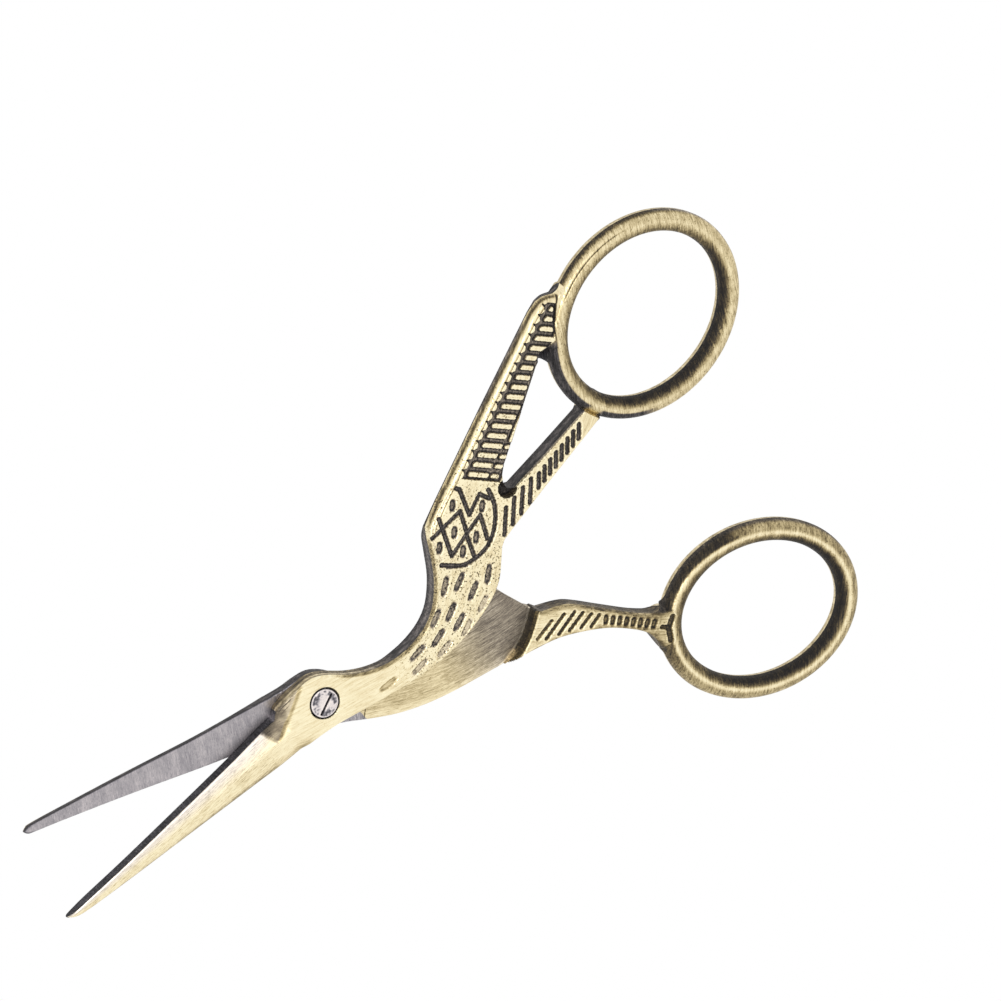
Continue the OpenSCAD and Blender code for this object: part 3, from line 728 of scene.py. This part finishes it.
def front_low(q, f):
    dist, plate, ease, off = f[:4]
    x, y = q[:, 0], q[:, 1]
    e = np.maximum(-dist, 0)
    rise = rim_rise(e, ease[:, 1])
    z = BODY_LOW + rise + FALL * ramp(0.1, 1.3, plate)
    z = soft_min(z, ring_heights(off, *THUMB_RING)[1], 0.15)
    # The neck's rim hangs over the back edge of the lap
    on_edge = (y > -3) * (x < 20) * (e < 0.03 + 0.2 * ramp(11.5, 12.3, x))
    lip = (LAP - BODY_LOW - rise) * ramp(9.3, 12.3, x) * on_edge
    lap = inside(q, LAP_LINE)
    z = np.where(lap, LAP - lip, z)
    return z, brushed(q, np.where(lap, 0.3, 0.4), np.where(lap, 1.0, 0.0), np.where(lap, 88.0, 20.0), 0.3)


def front_wall(q, t, f):
    """Looks of the side walls at a share t of their way down: their darkness, with its lighter and darker
    bands, is painted shade and reflection.
    """
    x, y = q[:, 0], q[:, 1]
    opening = 0.86 - 0.16 * bell(t, 0.5, 0.15)
    head = 0.6 - 0.3 * bell(t, 0.3, 0.1) + 0.16 * bell(t, 0.6, 0.12)
    neck = 0.82 - 0.2 * bell(t, 0.42, 0.2) * ramp(9, 17, x) + 0.1 * ramp(0.8, 0.95, t) - 0.08 * (t < 0.1)
    ground = 0.83 + 0.1 * (t < 0.1) + 0.08 * (t > 0.9) - 0.32 * bell(x, -6.7, 0.45)
    back = between(x, 5, 13, 25.0, 26.5) * (y > -3.4)
    blade = (x < -5.9) & (y > 0)
    patina_and_shading = np.where((x > 30) & (f[1] < 0.3), opening, 0.84)
    patina_and_shading = np.where((x < 13) & (y > -3), head, patina_and_shading)
    patina_and_shading = mixed(patina_and_shading, neck, back)
    patina_and_shading = np.where(blade, ground, patina_and_shading)
    patina_and_shading = np.where((x < -6.3) & (y < 0), 0.5, patina_and_shading)
    bare = np.where(blade, 1.0, 0.15 + 0.6 * np.maximum(back, x > 30))
    return brushed(q, patina_and_shading + 0.04 * wander(q, 1.5), bare, np.where(blade, 90.0, 0.0), 0.1)


def front_flare(q):
    """The blade's ground face leans out by this much at its foot."""
    return np.where((q[:, 0] < BLADE_END) & (q[:, 1] > 0), 0.16, 0.0) * ramp(-45.6, -45.1, q[:, 0])


front = plate_mesh(
    "stork_half_skin", front_field, (-46, -8.2, 83, 30), front_top, front_low, HALF_OPEN, "front",
    "stork_half", front_wall, front_flare
)

# Rear half. Its blade's spine is made a little thicker than the solid's.
rear_stations = smooth_line([
    [-45.4, -0.1, -0.24, 0.5, 0.5, 0.3], [-44.9, 0.2, -0.62, 1.0, 1.0, 0.4],
    [-44.0, 0.42, -0.76, 1.35, 1.35, 0.5], [-39.3, 0.76, -0.96, 1.5, 1.5, 0.6],
    [-29.3, 1.44, -1.54, 1.55, 1.55, 0.6], [-19.3, 1.98, -2.3, 1.55, 1.6, 0.6],
    [-14.3, 2.4, -2.62, 1.6, 1.65, 0.6], [-9.3, 2.78, -2.92, 1.6, 1.65, 0.7],
    [-6.4, 3.02, -3.0, 1.65, 1.68, 0.9],
])
rear_stations[:, 5] *= 1.35
rear_back = eased([
    (-6.8, 2.95), (-4.3, 3.2), (-2.0, 3.7), (0.0, 3.85), (2.0, 3.1),
    (4.0, 1.6), (6.0, 0.0), (9.0, -1.7), (12.2, -2.7),
], 0.1, 0.1)
rear_under_body = eased([
    (14.6, -2.9), (17.5, -2.6), (20.5, -0.9), (24.0, 1.9), (27.0, 3.6), (28.9, 3.5), (30.2, 2.0), (32.2, -0.4)
], 0.1, 0.1)
tail = [[33.0, -1.0, 0.1, 0.1], [33.6, -3.0, 0.1, 0.1], [32.5, -5.9, 0.1, 0.1], [28.6, -6.5, 0.1, 0.12]]
rear_plate_low = eased([
    (26.4, -6.85), (23.7, -7.1), (19.0, -7.5), (14.7, -7.55), (10.5, -7.1), (6.6, -6.15),
    (3.0, -5.05), (0.0, -4.45), (-3.0, -4.1), (-5.8, -3.9), (-6.8, -3.05),
], 0.1, 0.12)
rear_plan = Outline(
    blade_side(rear_stations, 1) + curve(rear_back) + curve(rear_under_body) + tail
    + curve(rear_plate_low) + blade_side(rear_stations, 2)[::-1]
)
rear_leg_top = [
    [33.6, -1.2, 0.3, 0.3], [36.6, -1.6, 0.35, 0.4], [38.6, -2.45, 0.35, 0.4], [42.4, -4.85, 0.35, 0.4],
    [46.2, -7.2, 0.35, 0.4], [49.2, -8.7, 0.3, 0.3],
]
rear_join = eased([(51.6, -9.4), (51.4, -12.6)], 0.1, 0.1)
rear_leg_low = eased([
    (48.9, -13.2), (47.7, -11.3), (45.8, -9.55), (42.0, -7.5), (38.0, -6.3)
], 0.15, 0.2) + [[34.5, -5.75, 0.2, 0.2], [31.0, -6.0, 0.45, 0.2], [28.6, -6.5, 0.9, 0.15]]
shoulder_foot = [[27.2, -6.75, 1.15, 0.15], [26.3, -6.98, 1.15, 0.12]]
shoulder = smooth_line([[25.9, -7.2], [27.8, -6.25], [30.05, -4.5], [31.7, -2.4], [33.0, -0.3]])[2:23]
shoulder_ease = np.interp(np.arange(len(shoulder)), [0, 9], [1.1, 0.34])
leg_plan = Outline(
    curve(rear_leg_top) + rear_join + curve(rear_leg_low) + shoulder_foot
    + [[x, y, ease, 0.1] for (x, y), ease in zip(shoulder, shoulder_ease)]
    + [[33.05, -0.75, 0.15, 0.15]]
)
finger = Oval([63.5, -14.6], 13.1, 11.0, -8.5)
LEG_SLOTS = (
    ([(31.7, -4.5), (34.3, -2.9)], 0.85), ([(32.9, -5.0), (36.3, -2.75)], 0.95),
    ([(34.8, -5.15), (37.8, -3.1)], 1), ([(36.4, -5.3), (38.9, -3.7)], 1),
    ([(38.1, -5.6), (40.0, -4.4)], 1), ([(39.5, -6.1), (41.1, -5.0)], 1),
)
FORK_HUB = 50.0, -11.0
FORK_ARMS = ((49.15, -10.55), 0.6), ((51.0, -9.75), 0.72), ((49.8, -12.85), 0.72)


def plate_field(q):
    bore = BORE - np.hypot(q[:, 0], q[:, 1])
    return np.maximum(rear_plan(q)[0], bore), leg_plan(q)[0]


def plate_top(q, f):
    x, y = q[:, 0], q[:, 1]
    e = np.maximum(-f[0], 0)
    cut = Relief(q)
    cut.groove([(5.4, -5.9), (5.9, -4.96), (6.2, -4.2)], width=0.16, depth=0.05, dark=0.8)
    for line in ([(15.6, -4.6), (16.3, -4.2)], [(18.3, -6.3), (18.9, -5.6), (19.9, -5.2)]):
        cut.groove(line, width=0.12, depth=0.03, dark=0.5)
    z = PLATE - plate_rounding(e) - cut.depth
    gold = ramp(-0.1, 0.1, (x - 5.65) + 0.42 * (y + 5.3)) > 0.5
    # Painted shade and reflection: the plate greys and darkens towards the leg's shoulder
    shade_near_shoulder = ramp(17.0, 29.0, x + 0.3 * (y + 6))
    patina_and_shading = 0.3 + 0.22 * shade_near_shoulder + 0.05 * wander(q, 2.5) - 0.12 * (1 - ramp(0.2, 1.6, e)) * (y < -4)
    patina_and_shading = np.maximum(np.where(gold, patina_and_shading, 0.4), cut.dark)
    # Painted shade along the plate's upper rim, beside the front half
    patina_and_shading = np.maximum(patina_and_shading, 0.7 * (1 - ramp(0.0, 0.12, e)) * (y > -3))
    # Painted highlight: a bright line on the plate beside the foot of the leg's crescent wall
    patina_and_shading = mixed(patina_and_shading, 0.08, bell(f[1], 0.2, 0.15) * (x > 24))
    on_blade = x < -6
    # Darker along the blade's edges at its tip and along its upper side, as painted shade where they round
    # off
    tip = (1 - ramp(0.0, 0.3, e)) * (1 - ramp(-44.9, -43.4, x))
    tip = np.maximum(tip, (1 - ramp(0.0, 0.16, e)) * (y > -0.1))
    patina_and_shading = np.where(on_blade, 0.36 + 0.04 * wander(q * [1, 0.05], 1.2, 5) + 0.5 * tip, patina_and_shading)
    bent = np.column_stack([x, y - 0.0105 * (x - 12) ** 2 + 0.14 * (x - 12)])
    lines = np.where(gold[:, None], bent, q)
    fine, stroke = np.where(on_blade, 3.0, 1.7), np.where(on_blade, 0.65, 1.2)
    return z, brushed(
        lines, patina_and_shading, np.where(gold, 0.5 * shade_near_shoulder, 1.0), np.where(gold, 0.0, 85.0), 0.1, fine, stroke
    )


def plate_low(q, f):
    """Flat under the plate, and crowned under the blade, whose outer face this is."""
    z = plate_rounding(np.maximum(-f[0], 0))
    mirrored = rear_stations[:, [0, 2, 1, 3, 4, 5]] * [1, -1, -1, 1, 1, 1]
    blade, t = blade_top(q * [1, -1], mirrored, 0)
    on_blade = 1 - ramp(-15.0, -2.0, q[:, 0])
    z = mixed(z, np.maximum(PLATE - blade, z), on_blade)
    # Where the leg covers the plate, the plate's underside lies a little above the leg's
    z = np.maximum(z, 0.05 * ramp(0.0, 0.1, -f[1]))
    patina_and_shading = 0.25 + 0.06 * wander(q, 2) + 0.2 * ramp(0.8, 1, t) * on_blade
    return z, brushed(q, patina_and_shading, 0.2 * on_blade, 5.0, 0.2)


def plate_wall(q, t, f):
    blade = q[:, 0] < 4
    # The walls are painted dark as shade
    patina_and_shading = np.where(blade, 0.86 - 0.1 * t, 0.5)
    return brushed(q, patina_and_shading, np.where(blade, 0.8, 0.3), 0.0, 0.1)


rear_plate = plate_mesh(
    "rear_half_plate", plate_field, (-46, -8.2, 35, 5), plate_top, plate_low, -HALF_OPEN, "rear",
    "rear_half", plate_wall
)


def leg_field(q):
    plan, ease = leg_plan(q)
    off, angle = finger(q)
    return soft_min(plan, np.abs(off) - BAND, 2.4), plan, ease, off, angle


def leg_relief(q):
    """Slots, lobes and the forked groove that are carved into the leg."""
    cut = Relief(q)
    for line, dark in LEG_SLOTS:
        cut.groove(line, 0.5, 0.28, dark)
    for k in range(8):
        x, y = 41.8 + 0.914 * k, -6.1 - 0.507 * k
        cut.dimple(x, y, length=1.5, width=0.72, angle=66 - 1.5 * k, depth=0.28, dark=1.0, floor=0.35)
    for end, width in FORK_ARMS:
        cut.groove([FORK_HUB, end], width, depth=0.35)
    return cut


def finger_patina_and_shading(q, u, angle, plan, band):
    """Patina and painted shading of the finger ring, with a painted highlight along its crest, and how far a
    point lies on the dark knob where the leg ends.
    """
    shifted = u - 0.3 * bell(angle, 150, 35)
    view = in_view(angle, -42.9) - 0.55 * (1 - ramp(90, 118, angle))
    patina_and_shading = 0.42 + ring_shading(shifted, view, 0.05, 0.5) + 0.07 * wander(q, 1.2, 5)
    # Painted highlight: lighter along the crest
    patina_and_shading = patina_and_shading - 0.3 * bell(shifted, -0.02, 0.2)
    knob = ramp(-0.35, 0.1, -band) * ramp(-0.1, 0.2, plan) * ramp(-11.5, -10.5, q[:, 1])
    patina_and_shading = mixed(patina_and_shading, 0.86 + 0.08 * wander(q, 0.5, 4), knob)
    arm = spot(q, 51.2, -13.4, 4) * ramp(0.0, 0.5, shifted)
    return mixed(patina_and_shading, 0.42, arm), knob


def leg_top(q, f):
    dist, plan, ease, off, angle = f
    x, y = q[:, 0], q[:, 1]
    e = np.maximum(-dist, 0)
    band = BAND - np.abs(off)
    rim = np.maximum(ease[:, 0], 0.12)
    z = LEG - rim_drop(e, rim) - FALL * ramp(0.2, 1.6, plan) - FALL * (1 - ramp(-1.1, 0.3, off))
    cut = leg_relief(q)
    z_ring = ring_heights(off, *FINGER_RING)[0]
    on_ring = np.maximum(ramp(-0.2, 0.15, z_ring - z), ramp(0.0, 0.5, plan))
    z = soft_max(z, z_ring, 0.5) - cut.depth * ramp(0.1, 0.4, e)

    # Patina of the leg, with painted shade on its rounded rims and steep crescent wall and a painted
    # highlight along the crescent, and then of the ring
    patina_and_shading = 0.2 + 0.24 * ramp(36, 50, x) + 0.1 * wander(q, 1.5) - 0.1 * bell(y + 0.58 * x, 16.2, 0.4)
    # Painted shade where the top rounds down at the rim
    patina_and_shading = patina_and_shading + 0.22 * (1 - ramp(0.2, 0.8, e))
    slope = e / rim
    steep_shade = 0.75 - 0.25 * between(x, 31.5, 34, 38, 42)
    width = np.interp(x, [26.5, 28.0, 29.5, 31.5, 33.5], [0.05, 0.4, 0.75, 1.0, 1.0])
    steep = (1 - ramp(0.55 * width, width, slope)) * (y > -7.4 + (x < 33.3) * -9)
    patina_and_shading = np.maximum(patina_and_shading, steep_shade * steep)
    # Painted highlight: a bright line along the top of the steep crescent wall
    patina_and_shading = mixed(patina_and_shading, 0.02, bell(slope, 1.1 * width + 0.2, 0.3) * (x < 33))
    ring, knob = finger_patina_and_shading(q, off / BAND, angle, plan, band)
    patina_and_shading = mixed(cut.patina_and_shading(patina_and_shading), cut.patina_and_shading(ring), on_ring)
    return z, brushed(q, patina_and_shading, 0.5 * knob * on_ring, np.where(on_ring > 0.5, 65.0, -20.0), 0.3)


def leg_low(q, f):
    dist, plan, ease, off = f[:4]
    z = rim_rise(np.maximum(-dist, 0), ease[:, 1]) + FALL * ramp(0.1, 1.3, plan)
    z = soft_min(z, ring_heights(off, *FINGER_RING)[1], 0.15)
    return np.maximum(z, 0.0), brushed(q, 0.4 + 0.06 * wander(q, 2), 0.0, 30.0, 0.3)


def leg_wall(q, t, f):
    x, y = q[:, 0], q[:, 1]
    steel = (x < 35) & (y > -4) & (x > 32.9)
    # The walls are painted dark as shade, lighter near the top and darker towards the foot
    patina_and_shading = 0.78 - 0.1 * (t < 0.3) + 0.12 * ramp(0.6, 0.95, t)
    patina_and_shading = np.where(x < 33, 0.88 - 0.5 * (1 - ramp(27.5, 30.0, x)), patina_and_shading)
    patina_and_shading = np.where(steel, 0.68, patina_and_shading)
    return brushed(q, patina_and_shading + 0.04 * wander(q, 1.2), np.where(steel, 0.5, 0.15), 0.0, 0.1)


rear_leg = plate_mesh(
    "rear_half_leg", leg_field, (24, -29, 79, 1), leg_top, leg_low, -HALF_OPEN, "rear", "rear_half",
    leg_wall
)


# Pivot screw
def screw_field(q):
    r = np.hypot(q[:, 0], q[:, 1])
    return r - HEAD_RADIUS, r


def screw_top(q, f):
    r = f[1]
    cut = Relief(q)
    c, s = math.cos(SLOT_TURN), math.sin(SLOT_TURN)
    along, across = q[:, 0] * c + q[:, 1] * s, -q[:, 0] * s + q[:, 1] * c
    slot = np.maximum(np.abs(across + 0.3) - 0.13 - 0.03 * wander(q, 0.9), np.abs(along + 0.05) - 1.62)
    cut.cut(slot, depth=0.4, soft=0.05, floor=0.0)
    z = HEAD_TOP - 0.06 * ramp(1.75, HEAD_RADIUS, r) - 0.02 * wander(q, 0.25, 6) - cut.depth
    spin = np.arctan2(q[:, 1], q[:, 0])
    wear_and_shade = 0.5 + 0.5 * np.sin(3 * spin + 2.4 * wander(q, 0.4, 2) + 1)
    patina_and_shading = 0.05 + 0.62 * wear_and_shade * between(r, 0.7, 1.4, 1.75, 1.9) + 0.12 * np.abs(wander(q, 0.2, 3))
    # Painted shade in the gap round the head's rim
    patina_and_shading = np.maximum(cut.patina_and_shading(patina_and_shading), 0.95 * ramp(1.95, 2.02, r))
    return z, brushed(q, patina_and_shading, 1.0, 60.0, 0.2)


def screw_low(q, f):
    """The head's underside is a cone, and the shank goes down to the rear half's underside."""
    past = f[1] - SHANK_RADIUS
    return np.where(past > 0, HEAD_LOW + past * 0.65, 0.0), brushed(q, 0.35, 1.0, 20.0)


def screw_wall(q, t, f):
    # The head's side is painted dark as shade in the gap round it
    return brushed(q, 0.9, 1.0, 0.0)


screw = plate_mesh(
    "pivot_screw_skin", screw_field, (-2.4, -2.4, 2.4, 2.4), screw_top, screw_low, 0.0, "rear",
    "pivot_screw", screw_wall, step=SCREW_STEP
)


# Materials
def linear(r, g, b):
    """A colour's linear value from its 0 to 255."""
    return [((c / 255 + 0.055) / 1.055) ** 2.4 if c > 10 else c / 255 / 12.92 for c in (r, g, b)] + [1.0]


def shade_of(nodes, tones):
    """Colour that goes through tones, which are 0 to 255, as the patina and painted shading go from 0 to 1.
    """
    ramp_node = nodes.new("ShaderNodeValToRGB")
    stops = ramp_node.color_ramp.elements
    while len(stops) < len(tones):
        stops.new(0.5)
    for stop, (at, colour) in zip(stops, tones):
        stop.position = at
        stop.color = linear(*colour)
    return ramp_node


def metal(name, gold, steel, streaks):
    """Brushed metal that goes from gold to steel with bare, and darkens with patina and painted shading."""
    mat = bpy.data.materials.new(name)
    mat.use_nodes = True
    nodes, links = mat.node_tree.nodes, mat.node_tree.links
    bsdf = nodes["Principled BSDF"]

    def attribute(at, out="Fac"):
        n = nodes.new("ShaderNodeAttribute")
        n.attribute_name = at
        return n.outputs[out]

    def noise(vector, stretch, detail=3.0, rough=0.55):
        m = nodes.new("ShaderNodeMapping")
        m.inputs["Scale"].default_value = stretch
        links.new(vector, m.inputs["Vector"])
        n = nodes.new("ShaderNodeTexNoise")
        n.inputs["Scale"].default_value = 1.0
        n.inputs["Detail"].default_value = detail
        n.inputs["Roughness"].default_value = rough
        links.new(m.outputs["Vector"], n.inputs["Vector"])
        return n.outputs["Fac"]

    def sum_of(*terms):
        """Sum of factor times (value less middle)."""
        total = None
        for value, middle, factor in terms:
            n = nodes.new("ShaderNodeMath")
            n.operation = "SUBTRACT"
            links.new(value, n.inputs[0])
            n.inputs[1].default_value = middle
            m = nodes.new("ShaderNodeMath")
            m.operation = "MULTIPLY"
            links.new(n.outputs[0], m.inputs[0])
            if isinstance(factor, bpy.types.NodeSocket):
                links.new(factor, m.inputs[1])
            else:
                m.inputs[1].default_value = factor
            if total:
                a = nodes.new("ShaderNodeMath")
                links.new(total, a.inputs[0])
                links.new(m.outputs[0], a.inputs[1])
                total = a.outputs[0]
            else:
                total = m.outputs[0]
        return total

    def times(value, factor):
        return sum_of((value, 0.0, factor))

    def spread(value, low, high, to_low=0.0, to_high=1.0):
        n = nodes.new("ShaderNodeMapRange")
        n.interpolation_type = "SMOOTHSTEP"
        for k, v in enumerate((low, high, to_low, to_high)):
            n.inputs[k + 1].default_value = v
        links.new(value, n.inputs[0])
        return n.outputs[0]

    patina_and_shading = attribute("patina_and_shading")
    bare = attribute("bare")
    pits = attribute("pits")
    stroke = attribute("stroke")
    brush = attribute("brush", "Vector")
    plan = attribute("plan", "Vector")
    streak = noise(brush, (0.3, 4.2, 1.5), 4.0, 0.6)
    fine = noise(brush, (1.0, 11.0, 3.0), 2.0)
    cloud = noise(plan, (0.8, 0.8, 0.8), 4.0, 0.6)
    grain = noise(plan, (4.0, 4.0, 4.0), 4.0, 0.65)
    speck = spread(noise(plan, (3.9, 3.9, 3.9)), 0.56, 0.67)
    # Summed darkness: patina, painted shade and painted highlights, brush streaks and pits
    wear_and_shade = sum_of(
        (patina_and_shading, 0.0, 1.0), (streak, 0.5, times(stroke, streaks)), (cloud, 0.5, 0.14),
        (fine, 0.5, times(stroke, streaks * 0.7)),
        (speck, 0.1, times(pits, 0.6)), (grain, 0.5, times(pits, 0.6))
    )
    gold_tone = shade_of(nodes, gold)
    steel_tone = shade_of(nodes, steel)
    links.new(wear_and_shade, gold_tone.inputs["Fac"])
    links.new(wear_and_shade, steel_tone.inputs["Fac"])
    mix = nodes.new("ShaderNodeMix")
    mix.data_type = "RGBA"
    share, first, second = [s for s in mix.inputs if s.enabled]
    links.new(bare, share)
    links.new(gold_tone.outputs["Color"], first)
    links.new(steel_tone.outputs["Color"], second)
    links.new([s for s in mix.outputs if s.enabled][0], bsdf.inputs["Base Color"])
    links.new(spread(wear_and_shade, 0.4, 0.95, 1.0, 0.3), bsdf.inputs["Metallic"])
    links.new(spread(wear_and_shade, 0.1, 0.9, 0.34, 0.6), bsdf.inputs["Roughness"])
    bsdf.inputs["Specular IOR Level"].default_value = 0.3
    bump = nodes.new("ShaderNodeBump")
    bump.inputs["Strength"].default_value = 0.4
    bump.inputs["Distance"].default_value = 0.04 * MM
    height = sum_of((streak, 0.5, 1.0), (fine, 0.5, 0.6), (speck, 0.0, times(pits, -0.8)))
    links.new(height, bump.inputs["Height"])
    links.new(bump.outputs["Normal"], bsdf.inputs["Normal"])
    return mat


GOLD_TONES = [
    (0.0, (253, 242, 206)), (0.18, (238, 222, 181)), (0.4, (191, 174, 133)), (0.6, (128, 113, 82)),
    (0.8, (72, 63, 48)), (1.0, (32, 29, 28))
]
STEEL_TONES = [
    (0.0, (246, 236, 230)), (0.2, (212, 204, 204)), (0.4, (157, 153, 157)), (0.6, (118, 114, 119)),
    (0.8, (66, 65, 69)), (1.0, (22, 21, 22))
]
bronze = metal("antique_gold_plate", GOLD_TONES, STEEL_TONES, streaks=0.7)
screw_steel = metal("screw_steel", STEEL_TONES, STEEL_TONES, streaks=0.3)
for piece in (front, rear_plate, rear_leg):
    piece.data.materials.append(bronze)
screw.data.materials.append(screw_steel)


# Light: a white studio all round and one soft lamp
def studio():
    """A world that the camera, gloss and glass see as white, and that lights the object less than that."""
    world = bpy.data.worlds.new("studio")
    bpy.context.scene.world = world
    world.use_nodes = True
    nodes, links = world.node_tree.nodes, world.node_tree.links
    path = nodes.new("ShaderNodeLightPath")
    seen = path.outputs["Is Camera Ray"]
    for ray in ("Is Glossy Ray", "Is Transmission Ray"):
        either = nodes.new("ShaderNodeMath")
        either.operation = "MAXIMUM"
        links.new(seen, either.inputs[0])
        links.new(path.outputs[ray], either.inputs[1])
        seen = either.outputs[0]
    level = nodes.new("ShaderNodeMapRange")
    level.inputs["To Min"].default_value = 0.7
    level.inputs["To Max"].default_value = 1.0
    links.new(seen, level.inputs["Value"])
    nodes["Background"].inputs["Color"].default_value = (1, 1, 1, 1)
    links.new(level.outputs[0], nodes["Background"].inputs["Strength"])


def lamp(name, place, size, power):
    data = bpy.data.lights.new(name, "AREA")
    data.size = size
    data.energy = power
    obj = bpy.data.objects.new(name, data)
    bpy.context.scene.collection.objects.link(obj)
    obj.location = place
    obj.rotation_euler = (-Vector(place)).to_track_quat("-Z", "Y").to_euler()


studio()
lamp("key", (-0.12, 0.14, 0.36), size=0.16, power=0.35)

# Camera at the photograph's angle. The photograph's rightward and upward directions are written in a
# frame that VIEW_TURN turns into the CAD's, and the lengths are in metres.
PIXEL = 0.000135
FRAME_PIXELS = 1001
VIEW_TURN = math.radians(25.065)
VIEW_RIGHT = 0.5736, -0.7073, 0.4133
VIEW_UP = 0.8192, 0.4952, -0.2894
SCREW_TO_MIDDLE = 0.02369, 0.02742
CAMERA_AWAY = 0.6


def turned(v):
    c, s = math.cos(VIEW_TURN), math.sin(VIEW_TURN)
    return Vector((v[0] * c - v[1] * s, v[0] * s + v[1] * c, v[2])).normalized()


right = turned(VIEW_RIGHT)
away = right.cross(turned(VIEW_UP)).normalized()
up = away.cross(right)
middle = Vector((0, 0, TOP * MM)) + right * SCREW_TO_MIDDLE[0] + up * SCREW_TO_MIDDLE[1]
place = middle + away * CAMERA_AWAY
cam_data = bpy.data.cameras.new("camera")
cam_data.type = "ORTHO"
cam_data.ortho_scale = FRAME_PIXELS * PIXEL
cam_data.clip_end = 10
camera = bpy.data.objects.new("camera", cam_data)
bpy.context.scene.collection.objects.link(camera)
camera.matrix_world = Matrix((
    (right.x, up.x, away.x, place.x),
    (right.y, up.y, away.y, place.y),
    (right.z, up.z, away.z, place.z),
    (0, 0, 0, 1),
))
bpy.context.scene.camera = camera
bpy.context.scene.view_settings.view_transform = "Standard"
